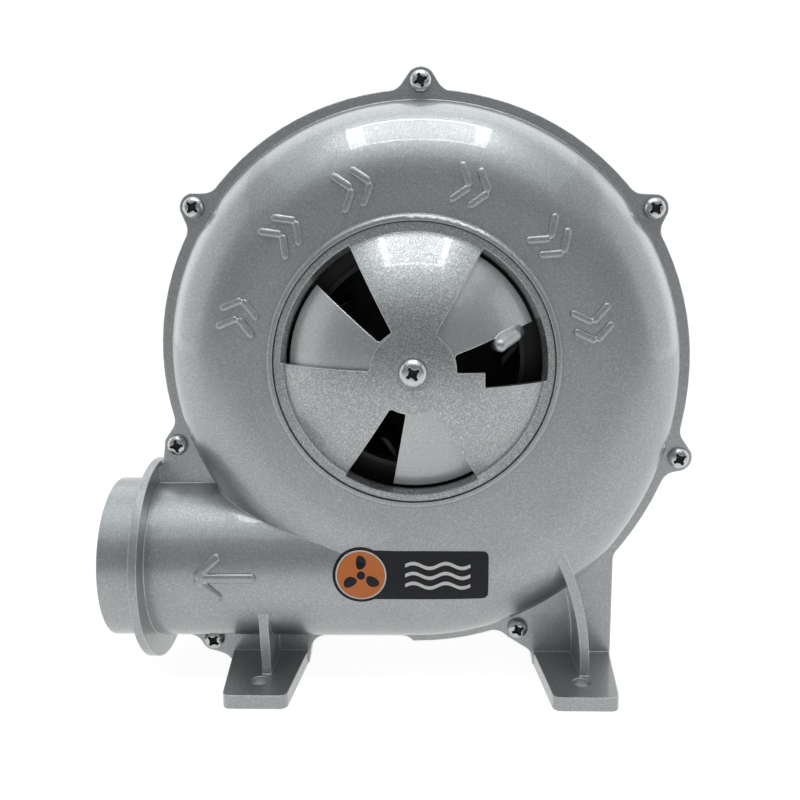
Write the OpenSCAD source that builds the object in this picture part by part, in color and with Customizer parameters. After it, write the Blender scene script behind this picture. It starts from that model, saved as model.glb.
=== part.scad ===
// Blower fan: a cast volute on four feet with a domed intake, a turning shutter and a motor behind.
// Millimetres, +Z up. The intake faces -Y, the outlet points along -X and the motor stands at +Y.
// The origin is the middle of the four foot holes, on the surface that the feet stand on.

/* [Volute] */
// Height of the fan axis above the floor
axis_z = 102.8; // [100:0.2:112]
// Fan axis measured sideways from the middle of the feet
axis_x = -1.2; // [-4:0.2:4]
// Outer radius of the round part of the volute
volute_r = 76; // [74:0.2:82]
// Radius added in the arc over the top
growth_top = 4.6; // [2:0.1:6]
// Radius added in the arc on the right
growth_side = 12.4; // [10:0.1:16]
// Half the depth of the volute, and the radius of its duct
body_r = 25.4; // [24:0.2:27]
// Thickness of the cast walls
wall = 2.6; // [1.8:0.1:3.2]

/* [Flange and ears] */
// Width of the flange outside the volute wall
lip_w = 3; // [2:0.1:4]
// Width of the flange under the duct
low_lip = 1.2; // [0.8:0.1:3]
// Thickness of the flange on each casting
lip_t = 3; // [2:0.1:4]
// Distance of the ear screws outside the volute wall
ear_out = 5; // [4.4:0.1:6]
// Radius of an ear round its screw
ear_r = 4.3; // [3.8:0.1:5.5]
// Radius of the hollow blends of the flange outline
blend_r = 5; // [2:0.5:7]
// Length of the threaded bosses on the rear casting
boss_l = 9; // [6:0.5:12]

/* [Outlet] */
// Outer radius of the outlet stub
stub_r = 25.4; // [25:0.1:30]
// Distance of the outlet mouth from the fan axis
outlet_reach = 96.6; // [92:0.2:110]
// Length of the outlet stub
stub_l = 11.8; // [9:0.2:20]
// Outer radius of the collar behind the stub
collar_r = 32.2; // [30:0.2:36]
// Thickness of the collar
collar_t = 2.6; // [2:0.1:4]

/* [Feet] */
// Distance between the foot holes across the front
foot_pitch = 98.8; // [94:0.2:104]
// Distance of the front foot holes from the parting plane
front_hole = 24.1; // [22:0.1:28]
// Distance of the rear foot holes from the parting plane
rear_hole = 56; // [50:0.5:62]
// Length of a foot beyond its hole
foot_end = 9.6; // [7:0.2:12]
// Width of a foot at the casting
foot_w = 25.2; // [22:0.2:28]
// Width of a foot at its tip
foot_tip = 19.2; // [16:0.2:22]
// Thickness of a foot
foot_t = 4.3; // [3.5:0.1:6]
// Radius of a foot hole
foot_hole_r = 2.75; // [2.2:0.05:3.3]
// Thickness of the foot ribs
rib_t = 2.8; // [2:0.1:4]
// Shift of the ribs to the right of the foot holes
rib_shift = 1.5; // [0:0.1:2.5]
// Radius of the bend of the right hand ribs
rib_bend = 90; // [80:1:110]

/* [Intake] */
// Outer radius of the domed intake cap
cap_r = 40.1; // [39.6:0.1:41.5]
// Thickness of the cap
cap_t = 2; // [1.4:0.1:2.2]
// Rise of the dome above the cap rim
dome_h = 15.5; // [13:0.1:18]
// Width of the flat rim of the cap
cap_rim = 2.7; // [2:0.1:3.4]
// Width of the raised bead round the cap
bead_w = 1.9; // [1.6:0.1:4]
// Height of the cap seat above the volute front
seat_h = 0.6; // [0.2:0.1:1]
// Width of the groove between cap and bead
cap_groove = 0.3; // [0.1:0.05:0.5]
// Radius of the solid hub inside the windows
window_in = 11.7; // [10:0.1:14]
// Angle where the first window begins
window_from = -2; // [-4:0.5:2]
// Angle that each window spans
window_span = 61; // [56:0.5:62]
// Radius where the sloped outer edge of the windows begins, on the underside
slope_in = 36.6; // [35.8:0.1:37.2]
// Radius where that slope ends, on the front of the rim
slope_out = 38.2; // [37.6:0.1:38.8]
// Depth of the notch for the thumb tab under the first window
notch_d = 4.8; // [4.6:0.1:7]
// Where the notch begins, from the axis
notch_in = 19.6; // [18:0.1:21]

/* [Shutter] */
// Outer radius of the shutter
shutter_r = 35.6; // [34:0.1:36.4]
// Thickness of the shutter
shutter_t = 1.5; // [1.2:0.1:1.6]
// Gap between the dome of the cap and the shutter
shutter_gap = 0.4; // [0.3:0.05:0.6]
// Radius of the shutter hub inside its windows
shutter_hub = 11.9; // [10:0.1:14]
// Angle where the first blade begins, as it stands in rest
blade_from = 20; // [10:1:30]
// Angle that each blade spans
blade_span = 60; // [56:1:62]
// Radius of the thumb tab
tab_r = 1.9; // [1.4:0.1:2]
// Height of the thumb tab above the shutter
tab_h = 5; // [4.5:0.1:7]
// Distance of the inner end of the thumb tab from the axis
tab_in = 22.2; // [20:0.1:24]
// Length of the thumb tab
tab_l = 10.4; // [8:0.1:11]
// Radius of the shank of the shutter screw
pivot_r = 2.5; // [2:0.1:3]
// Radial running clearance of the shutter on its screw
pivot_play = 0.05; // [0.02:0.01:0.1]

/* [Impeller] */
// Outer radius of the impeller
wheel_r = 61; // [56:0.5:63]
// Radius of the eye of the impeller
eye_r = 31; // [28:0.5:34]
// Height of the blades
blade_h = 28; // [24:0.5:30]
// Number of blades
blade_count = 10; // [6:1:14]
// Thickness of the blades
blade_t = 1.4; // [1:0.1:2]
// Radius of curvature of the blades
blade_bend = 44; // [40:1:60]
// Thickness of the impeller plates
plate_t = 1.5; // [1:0.1:2]
// Radius of the impeller hub
hub_r = 10; // [9:0.5:12]

/* [Motor] */
// Radius of the motor shaft
shaft_r = 4; // [3.5:0.1:4.5]
// Inner radius of the motor shell
shell_in = 41; // [40:0.5:43]
// Thickness of the motor shell
shell_t = 2.8; // [2:0.1:3.6]
// Length of the motor shell
shell_l = 68; // [66:1:80]
// Height of the cooling fins
fin_h = 3.4; // [2:0.1:5]
// Number of places for cooling fins round the shell
fin_count = 36; // [24:4:48]
// Length of the laminated cores
core_l = 36; // [28:1:38]
// Radius of the rotor
rotor_r = 24.6; // [22:0.2:26]
// Air gap between rotor and stator
air_gap = 0.4; // [0.3:0.05:0.6]
// Gap between the shell and the heads of its screws
ear_gap = 1.3; // [0.5:0.1:3]
// Depth of the end cover
cover_l = 15; // [13:0.5:20]
// Outer radius of the ball bearings
bearing_r = 11; // [10:0.5:13]
// Width of the ball bearings
bearing_w = 7; // [6:0.5:9]

/* [Terminal box] */
// Length of the terminal box along the motor
box_l = 38; // [34:1:44]
// Width of the terminal box
box_w = 46; // [42:1:52]
// Height of the terminal box above the motor axis
box_top = 66; // [62:0.5:70]
// Wall thickness of the terminal box
box_t = 2; // [1.6:0.1:3]

/* [Hidden] */
$fn = 96;

eps = 0.01;
play = 0.3;
split_y = (front_hole - rear_hole) / 2;
foot_x = foot_pitch / 2;

// The volute outline is four arcs that meet on shared normals, so it is smooth all round. The normals
// have whole-number slopes, so neighbouring arcs meet on exactly the same plane.
joints = [[-0.28, 0.96], [1, 0], [0.8, -0.6]];
ends = concat([[0, -1]], joints, [[0, -1]]);
turns = [for (u = joints) atan2(u[1], u[0])];
// The radius of the last arc brings its centre straight below the fan axis.
side_r = volute_r + growth_top + growth_side;
last_r = side_r - (growth_top * joints[0][0] + growth_side * joints[1][0]) / joints[2][0];
radii = [volute_r, volute_r + growth_top, side_r, last_r];
arcs = [0, 1, 2, 3];
function dir(a) = [cos(a), sin(a)];
function arc_c(k) = k == 0 ? [0, 0] : arc_c(k - 1) - (radii[k] - radii[k - 1]) * joints[k - 1];
low_y = arc_c(3)[1] - last_r;
duct_y = low_y + body_r;
function arc_at(a) = a > turns[0] ? 0 : a > turns[1] ? 1 : a > turns[2] ? 2 : 3;
function arc_side(k, a) = arc_c(k)[0] * sin(a) - arc_c(k)[1] * cos(a);
function reach(a) = arc_c(arc_at(a)) * dir(a)
    + sqrt(pow(radii[arc_at(a)], 2) - pow(arc_side(arc_at(a), a), 2));

// Six ears stand round the volute, and the seventh hangs under the duct beside the left foot.
ear_angles = [88.5, 146, 31.2, -21.9, 200.8, -69.9];
duct_ear = [-foot_x - 17.4, duct_y - body_r - 2.4];
function ear_at(a) = (reach(a) + ear_out) * dir(a);
ears = concat([for (a = ear_angles) ear_at(a)], [duct_ear]);
collar_x = -outlet_reach + stub_l;
in_r = body_r - wall;
reach_in = body_r + 22;

screw_r = 1.98;
thread_r = 2;
clear_r = 2.2;
head_r = 3.5;
head_h = 2.6;

seat_f = body_r + seat_h;
rim_f = seat_f + cap_t;
bead_in = cap_r + cap_groove;
bead_out = bead_in + bead_w;
bead_h = rim_f + 0.6;
window_out = cap_r - cap_rim;
mouth_r = window_out + 0.2;
dome_r = (pow(window_out, 2) + pow(dome_h, 2)) / (2 * dome_h);
dome_c = rim_f + dome_h - dome_r;
shutter_out = dome_r - cap_t - shutter_gap;
pivot_flat = 5.2;
pivot_sink = 0.25;
hub_disc_r = 7.2;
window_corner = 1;
cap_top = rim_f + dome_h;
cap_under = dome_c + dome_r - cap_t - 0.55;
damper_top = cap_under - play;
damper_low = damper_top - 2.25;
spring_t = 1;
damper_washer_t = 1;
damper_nut_h = 4;
damper_seat = damper_low - play;
nut_f = damper_seat - spring_t - damper_washer_t;

wheel_back = -blade_h / 2 - 0.25;
wheel_front = wheel_back + blade_h;
hub_flange_r = hub_r + 8;
hub_flange_t = 2.4;
hub_back = wheel_back - plate_t - 3.4;
hub_front = 8;
rivet_r = 1.5;
washer_t = 1.2;
shaft_nut_h = 5;
shaft_end = hub_front + washer_t + shaft_nut_h + 2;

motor_f = -body_r - 3.6;
register_l = 3;
shell_out = shell_in + shell_t;
shell_pcd_r = shell_out + head_r + ear_gap;
shell_end = motor_f - shell_l;
ear_t = 6;
shell_ear_r = 5.2;
screw_turns = [45, 135, 225, 315];
seal_f = -body_r + 0.9;
seal_r = bearing_r - 2;
seal_l = 4.5;
front_bearing = seal_f - seal_l - 2;
boss_r = bearing_r + 3.4;
core_mid = (motor_f + shell_end) / 2 - 2;
core_front = core_mid + core_l / 2;
core_back = core_mid - core_l / 2;
cover_back = shell_end - cover_l;
cover_skin = 2.4;
spring_w = 1;
rear_bearing = cover_back + 3 + spring_w + bearing_w;
race_t = 2.1;
ball_r = 1.95;
ball_gap = 0.03;
ball_pitch = (bearing_r + shaft_r) / 2;
shoulder_r = shaft_r + 1.5;
ball_count = 7;
stator_in = rotor_r + air_gap;
slot_count = 12;

box_front = core_mid + box_l / 2;
box_back = box_front - box_l;
box_floor = shell_out + 2;
lid_t = 2.4;
lid_edge = 0.8;
gland_y = (box_floor + box_top) / 2 + 1;
gland_hex_r = 8.6;
gland_r = 6;
gland_l = 16;

aluminium_paint = [0.62, 0.64, 0.65];
steel = [0.72, 0.73, 0.74];
dark_steel = [0.35, 0.36, 0.38];
zinc = [0.78, 0.78, 0.74];
copper = [0.72, 0.42, 0.24];
black_plastic = [0.1, 0.1, 0.11];

// Everything but the floor itself is drawn looking at the intake: X right, Y up, Z towards the viewer.
module fan_frame() {
    translate([axis_x, split_y, axis_z]) rotate([90, 0, 0]) children();
}

module at_depth(f) {
    translate([0, 0, f]) children();
}

module ring(r_out, r_in, f_from, f_to) {
    at_depth(f_from) difference() {
        cylinder(r = r_out, h = f_to - f_from);
        at_depth(-1) cylinder(r = r_in, h = f_to - f_from + 2);
    }
}

module wedge(a_from, a_to, r) {
    steps = 4;
    points = [for (i = [0:steps]) r * dir(a_from + (a_to - a_from) * i / steps)];
    polygon(concat([[0, 0]], points));
}

// Half of the volute body: every arc turns the same section, a flat front and a quarter round.
module section(r, depth, low) {
    translate([r - reach_in, low]) square([reach_in - body_r, depth - low]);
    intersection() {
        translate([r - body_r, 0]) circle(depth);
        translate([r - body_r, low]) square([depth + 1, depth + 1 - low]);
    }
}

// The slice of the plane that one arc fills, seen from the centre of the arc
module arc_wedge(k) {
    far = 200;
    a = ends[k];
    b = ends[k + 1];
    side = k == 0 ? [-1, 0] : a + b;
    polygon([[0, 0], far * b, far * side, far * a]);
}

module volute_half(inset, low) {
    depth = body_r - inset;
    for (k = arcs) {
        translate(arc_c(k)) intersection() {
            rotate_extrude() section(radii[k], depth, low);
            at_depth(low - 1) linear_extrude(body_r + 3) arc_wedge(k);
        }
    }
    at_depth(low) cylinder(r = volute_r - body_r - 2, h = depth - low);
}

// A shallow slope fills the valley between the volute and the duct that leaves its bottom.
module valley_half(inset, low) {
    depth = body_r - inset;
    start = inset > 0 ? 0.5 : 1;
    end = -34;
    slope = [[start, low], [start, depth], [-6, depth], [-20, depth - 1.2], [end, depth - 3.5], [end, low]];
    translate([0, duct_y + 17 - inset, 0]) rotate([90, 0, 0]) linear_extrude(17 - inset) polygon(slope);
}

module duct_half() {
    translate([0, duct_y, 0]) rotate([0, -90, 0]) rotate([0, 0, -90])
        rotate_extrude(angle = 180) square([body_r, -collar_x - 1]);
}

module arc_pie(k, w) {
    translate(arc_c(k)) intersection() {
        circle(radii[k] + w);
        arc_wedge(k);
    }
}

// Outline of two circles and the tangents between them
module taper_2d(p, rp, q, rq) {
    along = (p - q) / norm(p - q);
    side = [-along[1], along[0]];
    lean = (rq - rp) / norm(p - q);
    flat = sqrt(1 - lean * lean);
    translate(p) circle(rp, $fn = 40);
    translate(q) circle(rq, $fn = 40);
    polygon([p + rp * (lean * along + flat * side), q + rq * (lean * along + flat * side),
        q + rq * (lean * along - flat * side), p + rp * (lean * along - flat * side)]);
}

module ear_2d(a) {
    taper_2d(ear_at(a), ear_r, ear_at(a) - (ear_out + 7) * dir(a), 11);
}

// The flat flange of one casting, with its ears and the webs that carry the feet
module flange_2d() {
    left = -foot_x - axis_x;
    right = foot_x - axis_x;
    offset(r = -blend_r) offset(delta = blend_r) union() {
        for (k = arcs) {
            arc_pie(k, lip_w);
        }
        translate([collar_x, low_y - low_lip]) square([-collar_x, 2 * body_r + low_lip + lip_w]);
        for (a = ear_angles) {
            ear_2d(a);
        }
        // Corner between collar, duct and volute
        polygon([[collar_x, duct_y], ears[4] - [ear_r, 0], ears[4] + [ear_r + 4, 4], [-50, duct_y]]);
        taper_2d(duct_ear, ear_r, duct_ear + [6, 8], 8);
        polygon([duct_ear + [0, -ear_r], [left - foot_w / 2, -axis_z + 2], [left - foot_w / 2, -axis_z],
            [left + foot_w / 2, -axis_z], [left + foot_w / 2 + 2.6, low_y + 6], duct_ear + [0, 10]]);
        polygon([ears[5] + [-2, -ear_r + 0.4], [right - foot_w / 2, -axis_z + foot_t],
            [right - foot_w / 2, -axis_z], [right + foot_w / 2, -axis_z], [right + foot_w / 2, low_y + 34],
            ears[5] + [0, 20]]);
    }
}

module foot_plate(x, hole_f) {
    tip = hole_f + foot_end;
    corner = 2.5;
    translate([x, -axis_z + foot_t, 0]) rotate([90, 0, 0]) difference() {
        linear_extrude(foot_t) intersection() {
            offset(r = corner, $fn = 32) offset(delta = -corner)
                polygon([[-foot_w / 2, -9], [foot_w / 2, -9], [foot_w / 2, 0], [foot_tip / 2, tip],
                    [-foot_tip / 2, tip], [-foot_w / 2, 0]]);
            translate([-foot_w / 2, 0]) square([foot_w, tip + 1]);
        }
        translate([0, hole_f, -1]) cylinder(r = foot_hole_r, h = foot_t + 2);
    }
}

// The left rib is flat, and the right one bends inwards as it climbs the volute.
module left_rib(hole_f) {
    x = -foot_x - axis_x + rib_shift;
    top_f = hole_f < 30 ? body_r - 1.9 : body_r - 4;
    translate([x - rib_t / 2, 0, 0]) rotate([0, 90, 0]) mirror([1, 0, 0]) linear_extrude(rib_t)
        polygon([[0, -axis_z + 1], [hole_f - 4.1, -axis_z + 1], [hole_f - 4.1, -axis_z + foot_t + 2],
            [top_f, duct_y - 8], [top_f - 4, duct_y], [0, duct_y]]);
}

module right_rib(hole_f) {
    x = foot_x - axis_x + rib_shift;
    base = -axis_z + 6;
    top_f = body_r - 1.6;
    intersection() {
        union() {
            translate([x - rib_bend, base, 0]) difference() {
                cylinder(r = rib_bend + rib_t / 2, h = hole_f, $fn = 180);
                at_depth(-1) cylinder(r = rib_bend - rib_t / 2, h = hole_f + 2, $fn = 180);
                translate([-2 * rib_bend, -2 * rib_bend, -1])
                    cube([4 * rib_bend, 2 * rib_bend, hole_f + 2]);
            }
            translate([x - rib_t / 2, -axis_z + 1, 0]) cube([rib_t, 7, hole_f]);
        }
        rotate([0, 90, 0]) mirror([1, 0, 0]) linear_extrude(2 * foot_x)
            polygon([[0, -axis_z], [hole_f - 4.1, -axis_z], [hole_f - 4.1, -axis_z + foot_t + 2],
                [top_f, -axis_z + 46], [0, -axis_z + 46]]);
    }
}

// Outlet stub and its collar, half of each on either casting
module stub_half() {
    translate([0, duct_y, 0]) rotate([0, -90, 0]) rotate([0, 0, -90]) rotate_extrude(angle = 180) {
        translate([0, -collar_x - 1]) square([stub_r, stub_l + 1]);
        translate([0, -collar_x - collar_t]) square([collar_r, collar_t]);
    }
}

module duct_bore() {
    translate([0, duct_y, 0]) rotate([0, -90, 0]) cylinder(r = in_r, h = outlet_reach + 1);
    translate([-outlet_reach + 1, duct_y, 0]) rotate([0, -90, 0]) cylinder(r1 = in_r, r2 = in_r + 2, h = 2);
}

module half_casting(hole_f) {
    difference() {
        union() {
            volute_half(0, 0);
            valley_half(0, 0);
            duct_half();
            linear_extrude(lip_t) flange_2d();
            stub_half();
            foot_plate(-foot_x - axis_x, hole_f);
            foot_plate(foot_x - axis_x, hole_f);
            left_rib(hole_f);
            right_rib(hole_f);
            children();
        }
        union() {
            volute_half(wall, -1);
            valley_half(wall, -1);
            duct_bore();
        }
    }
}

module front_housing() {
    color(aluminium_paint) fan_frame() difference() {
        half_casting(front_hole) ring_bead();
        at_depth(0) cylinder(r = mouth_r, h = body_r + 10);
        at_depth(seat_f) cylinder(r = bead_in, h = 10);
        for (p = ears) {
            translate([p[0], p[1], -1]) cylinder(r = clear_r, h = lip_t + 2);
            translate([p[0], p[1], lip_t]) cylinder(r = head_r + play, h = body_r);
        }
    }
}

// Raised bead round the cap, with a rounded top
module ring_bead() {
    round_r = 1.2;
    low = in_r - 0.5;
    shoulder = bead_h - round_r;
    rotate_extrude() {
        translate([mouth_r - 1, low]) square([bead_out - mouth_r + 1, shoulder - low]);
        translate([mouth_r - 1, shoulder - eps]) square([bead_out - round_r - mouth_r + 1, round_r + eps]);
        translate([bead_out - round_r, shoulder]) intersection() {
            circle(round_r);
            square(round_r + 1);
        }
    }
}

module rear_housing() {
    color(aluminium_paint) fan_frame() mirror([0, 0, 1]) difference() {
        half_casting(rear_hole) motor_seat();
        at_depth(0) cylinder(r = shoulder_r + 0.6, h = 2 * body_r);
        at_depth(-seal_f) cylinder(r = seal_r, h = seal_l);
        at_depth(-front_bearing) cylinder(r = bearing_r, h = bearing_w + 5);
        for (p = ears) {
            translate([p[0], p[1], -1]) cylinder(r = thread_r, h = boss_l);
        }
        for (a = screw_turns) {
            rotate([0, 0, a]) translate([shell_pcd_r, 0, in_r + 1.2]) cylinder(r = thread_r, h = 10);
        }
    }
}

// Seat of the motor on the back: bearing boss, ribs, spigot and four threaded bosses
module motor_seat() {
    at_depth(in_r) cylinder(r = boss_r, h = -front_bearing + bearing_w - in_r);
    for (a = [0:60:300]) {
        rotate([0, 0, a]) translate([seal_r + 3, -rib_t / 2, body_r - 1])
            cube([shell_in - seal_r - 6, rib_t, 5.4]);
    }
    ring(shell_out + 0.6, shell_in - 4.6, body_r - 1, -motor_f);
    ring(shell_in - 0.2, shell_in - 4.6, body_r - 1, -motor_f + register_l);
    for (a = screw_turns) {
        rotate([0, 0, a]) translate([shell_pcd_r, 0, body_r - 1]) cylinder(r = shell_ear_r, h = 4.6);
    }
    for (p = ears) {
        translate([p[0], p[1], 0]) cylinder(r = ear_r - 0.1, h = boss_l);
    }
}

// Pan head screw with a cross recess, its head above Z = 0 and its shank below
module pan_screw(hr, hh, sr, len) {
    difference() {
        union() {
            rotate_extrude() intersection() {
                translate([0, hh - 2.2 * hr]) circle(2.2 * hr);
                square([hr, hh]);
            }
            at_depth(-len) cylinder(r = sr, h = len + eps);
        }
        for (a = [45, 135]) {
            rotate([0, 0, a]) translate([-0.55 * hr, -0.14 * hr, 0.45 * hh])
                cube([1.1 * hr, 0.28 * hr, hh]);
        }
    }
}

module housing_screws() {
    color(zinc) fan_frame() for (p = ears) {
        translate([p[0], p[1], lip_t]) pan_screw(head_r, head_h, screw_r, lip_t + boss_l - 1.5);
    }
}

module window_2d(a_from, a_to, r_in, r_out, corner) {
    offset(r = corner) offset(delta = -corner) intersection() {
        difference() {
            circle(r_out);
            circle(r_in);
        }
        wedge(a_from, a_to, 2 * r_out);
    }
}

module dome_section(r_out, thick, reach_r, floor_f) {
    intersection() {
        difference() {
            translate([0, dome_c]) circle(r_out, $fn = 180);
            translate([0, dome_c]) circle(r_out - thick, $fn = 180);
        }
        translate([0, floor_f]) square([reach_r, 60]);
    }
}

// The windows end at a slope, so their cut edge shows from the front.
module window_reach() {
    rotate_extrude() polygon([[0, seat_f - 2], [slope_in, seat_f - 2], [slope_in, seat_f],
        [slope_out, rim_f], [slope_out, cap_top + 2], [0, cap_top + 2]]);
}

// Domed cap with three windows. The first one is notched for the thumb tab of the shutter.
module intake_cap() {
    color(aluminium_paint) fan_frame() difference() {
        union() {
            rotate_extrude() {
                dome_section(dome_r, cap_t, window_out + eps, seat_f);
                translate([window_out - 0.5, seat_f]) square([cap_r - window_out + 0.5, cap_t]);
            }
            at_depth(cap_under) cylinder(r = pivot_flat + 0.8, h = 2);
        }
        intersection() {
            at_depth(seat_f - 1) linear_extrude(60) {
                for (a = [window_from, window_from + 120, window_from + 240]) {
                    window_2d(a, a + window_span, window_in, slope_out + 1, window_corner);
                }
                translate([notch_in, -notch_d]) square([window_out, notch_d + 1]);
            }
            window_reach();
        }
        at_depth(cap_top - pivot_sink) cylinder(r = pivot_flat, h = 5);
        at_depth(cap_under - 1) cylinder(r = pivot_r + 0.1, h = 10);
    }
}

// Domed shutter nested in the cap: three blades on a hub, with a thumb tab on one edge
module damper() {
    color(aluminium_paint) fan_frame() {
        difference() {
            union() {
                rotate_extrude() dome_section(shutter_out, shutter_t, shutter_r, 0);
                at_depth(damper_low) cylinder(r = hub_disc_r, h = damper_top - damper_low);
            }
            for (a = [blade_from, blade_from + 120, blade_from + 240]) {
                linear_extrude(60)
                    window_2d(a + blade_span, a + 120, shutter_hub, shutter_r + 2 * window_corner, window_corner);
            }
            at_depth(damper_top) cylinder(r = hub_disc_r - 0.4, h = 10);
            cylinder(r = pivot_r + pivot_play, h = 60);
        }
        thumb_tab();
    }
}

// Rounded tab that stands in front of the leading edge of the first blade, like a finger. Its inner
// end is the highest, its outer end sinks to the rim, and its foot reaches back under the blade edge.
module thumb_tab() {
    inner = tab_in + tab_r;
    outer = tab_in + tab_l - tab_r;
    lead = blade_from - 4.8;
    hull() {
        thumb_point(inner, lead, 0);
        thumb_point(inner + 0.6, lead + 0.4, tab_h);
        thumb_point(outer, lead + 2.2, -0.4);
        thumb_point(outer - 1.4, lead + 2.2, tab_h - 1.6);
        thumb_point(inner + 3.2, blade_from - 0.4, -0.3);
        thumb_point(outer, blade_from, -0.5);
    }
}

// Ball of the tab at a polar place, standing out of the shutter by a lift
module thumb_point(r, a, lift) {
    f = dome_c + sqrt(pow(shutter_out - tab_r, 2) - r * r) + lift;
    translate([r * cos(a), r * sin(a), f]) sphere(tab_r, $fn = 24);
}

module damper_screw() {
    shank = cap_top - pivot_sink - nut_f + damper_nut_h + 1;
    color(zinc) fan_frame() at_depth(cap_top - pivot_sink) pan_screw(4.4, 2.8, pivot_r, shank);
}

module damper_spring() {
    color(steel) fan_frame() at_depth(damper_seat - spring_t) difference() {
        cylinder(r = 4.6, h = spring_t);
        at_depth(-1) cylinder(r = pivot_r + 0.1, h = 4);
        translate([0, -0.4, -1]) cube([6, 0.8, 4]);
    }
}

module damper_washer() {
    color(zinc) fan_frame() ring(5.2, pivot_r + 0.1, nut_f, nut_f + damper_washer_t);
}

module hex_nut(flats, r_in, h) {
    difference() {
        cylinder(r = flats / 2 / cos(30), h = h, $fn = 6);
        at_depth(-1) cylinder(r = r_in, h = h + 2);
    }
}

module damper_nut() {
    color(zinc) fan_frame() at_depth(nut_f - damper_nut_h) hex_nut(8, pivot_r + 0.02, damper_nut_h);
}

module impeller_backplate() {
    color(steel) fan_frame() difference() {
        ring(wheel_r, hub_r + 0.05, wheel_back - plate_t, wheel_back);
        rivet_holes();
    }
}

module rivet_holes() {
    for (a = [0:60:300]) {
        rotate([0, 0, a]) translate([hub_r + 4.5, 0, wheel_back - 10]) cylinder(r = rivet_r, h = 20);
    }
}

// Blades bend backwards: each is a slice of a thin tube, cut to the ring between eye and rim.
module impeller_blades() {
    shift = [blade_bend * cos(38) + 27, -blade_bend * sin(38)];
    color(steel) fan_frame() for (k = [0:blade_count - 1]) {
        rotate([0, 0, 360 / blade_count * k]) at_depth(wheel_back) linear_extrude(blade_h) intersection() {
            difference() {
                translate(shift) circle(blade_bend + blade_t / 2);
                translate(shift) circle(blade_bend - blade_t / 2);
            }
            difference() {
                circle(wheel_r - 0.5);
                circle(eye_r - 5);
            }
            translate([0, -10]) square([wheel_r, wheel_r + 10]);
        }
    }
}

module impeller_shroud() {
    color(steel) fan_frame() {
        rotate_extrude() {
            translate([eye_r, wheel_front]) square([wheel_r - eye_r, plate_t]);
            translate([eye_r, wheel_front]) square([plate_t, 5]);
        }
    }
}

module impeller_hub() {
    color(dark_steel) fan_frame() difference() {
        union() {
            at_depth(hub_back) cylinder(r = hub_r, h = hub_front - hub_back);
            at_depth(wheel_back) cylinder(r = hub_flange_r, h = hub_flange_t);
        }
        at_depth(hub_back - 1) cylinder(r = shaft_r, h = 60);
        rivet_holes();
    }
}

module impeller_rivets() {
    grip = plate_t + hub_flange_t;
    color(steel) fan_frame() for (a = [0:60:300]) {
        rotate([0, 0, a]) translate([hub_r + 4.5, 0, wheel_back - plate_t]) {
            cylinder(r = rivet_r, h = grip);
            at_depth(grip) cylinder(r1 = 2.6, r2 = 1.8, h = 1);
            at_depth(-1) cylinder(r1 = 1.8, r2 = 2.6, h = 1);
        }
    }
}

module impeller_washer() {
    color(zinc) fan_frame() ring(8, shaft_r + 0.1, hub_front, hub_front + washer_t);
}

module impeller_nut() {
    color(zinc) fan_frame() at_depth(hub_front + washer_t) hex_nut(13, shaft_r, shaft_nut_h);
}

// Sleeve that carries the clamping force of the nut from the hub to the front bearing
module shaft_spacer() {
    color(zinc) fan_frame() ring(shoulder_r, shaft_r, front_bearing, hub_back);
}

module motor_shaft() {
    back = rear_bearing - bearing_w - 0.5;
    thick_to = front_bearing - bearing_w;
    color(dark_steel) fan_frame() difference() {
        union() {
            at_depth(back) cylinder(r = shaft_r, h = shaft_end - back);
            at_depth(rear_bearing) cylinder(r = shoulder_r, h = thick_to - rear_bearing);
        }
        at_depth(shaft_end - 1) difference() {
            cylinder(r = shaft_r + 2, h = 3);
            cylinder(r1 = shaft_r, r2 = shaft_r - 1, h = 1);
        }
    }
}

module shaft_seal() {
    color([0.45, 0.42, 0.36]) fan_frame() ring(seal_r, shoulder_r + play, seal_f - seal_l, seal_f);
}

// Ring of a deep groove bearing, with the track of the balls turned into it
module race(f, r_out, r_in) {
    at_depth(f - bearing_w) rotate_extrude() difference() {
        translate([r_in, 0]) square([r_out - r_in, bearing_w]);
        translate([ball_pitch, bearing_w / 2]) circle(ball_r + ball_gap);
    }
}

// Balls and the ribbon cage that spaces them
module balls(f) {
    at_depth(f - bearing_w / 2) {
        for (k = [0:ball_count - 1]) {
            rotate([0, 0, 360 / ball_count * k]) translate([ball_pitch, 0, 0]) sphere(ball_r, $fn = 48);
        }
        ring(ball_pitch + 0.4, ball_pitch - 0.4, -0.9, 0.9);
    }
}

module front_bearing_outer() {
    color(steel) fan_frame() race(front_bearing, bearing_r, bearing_r - race_t);
}

module front_bearing_inner() {
    color(steel) fan_frame() race(front_bearing, shaft_r + race_t, shaft_r);
}

module front_bearing_balls() {
    color(steel) fan_frame() balls(front_bearing);
}

module rear_bearing_outer() {
    color(steel) fan_frame() race(rear_bearing, bearing_r, bearing_r - race_t);
}

module rear_bearing_inner() {
    color(steel) fan_frame() race(rear_bearing, shaft_r + race_t, shaft_r);
}

module rear_bearing_balls() {
    color(steel) fan_frame() balls(rear_bearing);
}

// Spring washer that loads the outer race of the rear bearing
module bearing_spring() {
    front = rear_bearing - bearing_w;
    color(steel) fan_frame() ring(bearing_r - 0.2, bearing_r - race_t, front - spring_w, front);
}

module rotor_core() {
    color(dark_steel) fan_frame() ring(rotor_r, shoulder_r, core_back, core_front);
}

// Cast end rings of the cage, with small fan vanes
module rotor_cage() {
    color(steel) fan_frame() for (side = [0, 1]) {
        at_depth(side == 0 ? core_front : core_back) mirror([0, 0, side]) {
            ring(rotor_r - 0.8, rotor_r - 8, 0, 4);
            for (a = [0:45:315]) {
                rotate([0, 0, a]) translate([rotor_r - 7, -0.9, 4 - eps]) cube([5.5, 1.8, 5]);
            }
        }
    }
}

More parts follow.
